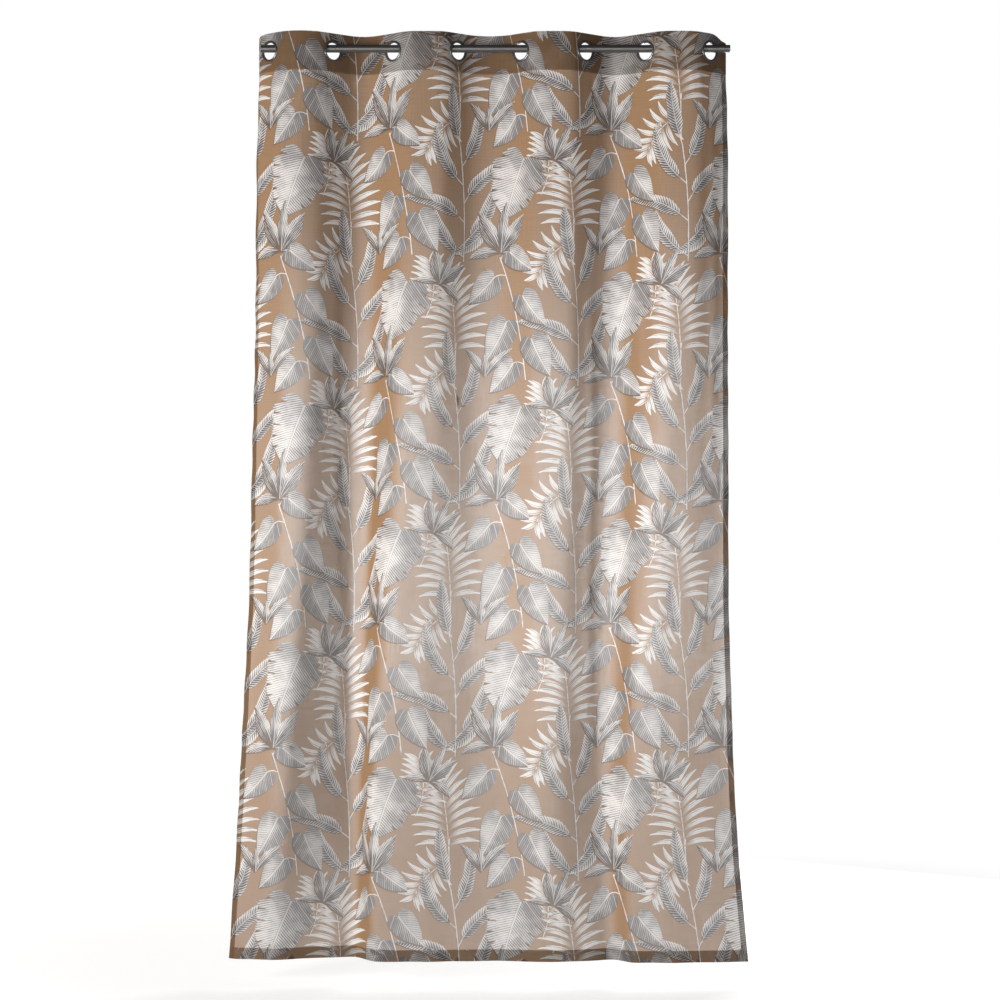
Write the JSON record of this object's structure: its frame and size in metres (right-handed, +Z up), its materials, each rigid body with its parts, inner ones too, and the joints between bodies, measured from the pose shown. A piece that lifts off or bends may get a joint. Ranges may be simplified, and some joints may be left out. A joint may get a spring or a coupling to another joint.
{
  "type": "eyelet curtain on a rod",
  "caption": "Sheer printed curtain panel with an eyelet heading, hanging in soft uneven folds from a plain round rod.",
  "frame": {"origin": "middle of the rod, on its axis", "axes": "+X along the rod to the right as seen from the room, +Z up, the room side faces -Y"},
  "size_m": [1.3454, 0.111, 2.4011],
  "materials": {
    "cloth": "thin plain-woven sheer cloth, tan, with an all-over print of pale grey and white leaves",
    "eyelet": "dark gunmetal rings, smooth and glossy",
    "rod": "dark grey satin rod"
  },
  "bodies": {
    "root": {"rod": "rod", "heading": "cloth", "panel": "cloth", "eyelet_1_front": "eyelet", "eyelet_1_back": "eyelet", "eyelet_2_front": "eyelet", "eyelet_2_back": "eyelet", "eyelet_3_front": "eyelet", "eyelet_3_back": "eyelet", "eyelet_4_front": "eyelet", "eyelet_4_back": "eyelet", "eyelet_5_front": "eyelet", "eyelet_5_back": "eyelet", "eyelet_6_front": "eyelet", "eyelet_6_back": "eyelet", "eyelet_7_front": "eyelet", "eyelet_7_back": "eyelet", "eyelet_8_front": "eyelet", "eyelet_8_back": "eyelet"}
  },
  "joints": []
}
